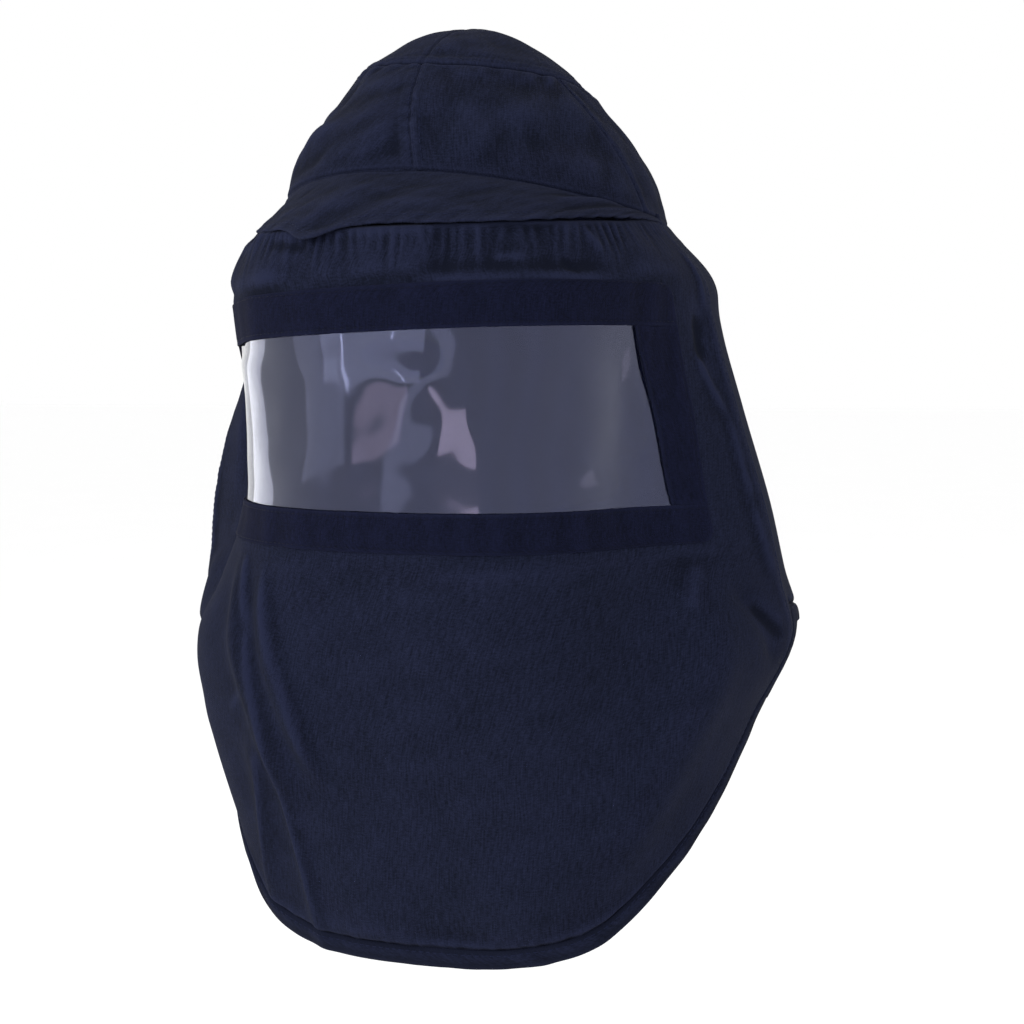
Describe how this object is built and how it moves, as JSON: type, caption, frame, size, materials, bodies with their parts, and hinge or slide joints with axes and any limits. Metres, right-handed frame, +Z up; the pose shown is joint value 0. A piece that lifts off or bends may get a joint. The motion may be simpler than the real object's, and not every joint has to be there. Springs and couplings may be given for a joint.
{
  "type": "steam protective hood",
  "caption": "Cloth hood worn over a hard hat, with a sewn crown and peak, a wide clear face window in a taped frame, a long rounded bib in front and a short cape behind.",
  "frame": {"origin": "inside of the crown's top, where the hood sits on the top of a hard hat", "axes": "+Z up, the face window looks along -Y, the wearer's left is +X"},
  "size_m": [0.4117, 0.3744, 0.5761],
  "materials": {
    "work_cloth": "matt woven navy cotton",
    "frame_tape": "matt dark navy cotton tape",
    "clear_film": "clear glossy soft film"
  },
  "bodies": {
    "root": {"crown_top": "work_cloth", "crown_front_right": "work_cloth", "crown_front_left": "work_cloth", "crown_back": "work_cloth", "peak_band": "work_cloth", "front_panel": "work_cloth", "back_cape": "work_cloth", "hem_front": "work_cloth", "hem_back": "work_cloth", "window_tape_top": "frame_tape", "window_tape_bottom": "frame_tape", "window_tape_left": "frame_tape", "window_tape_right": "frame_tape", "window_film": "clear_film"}
  },
  "joints": []
}
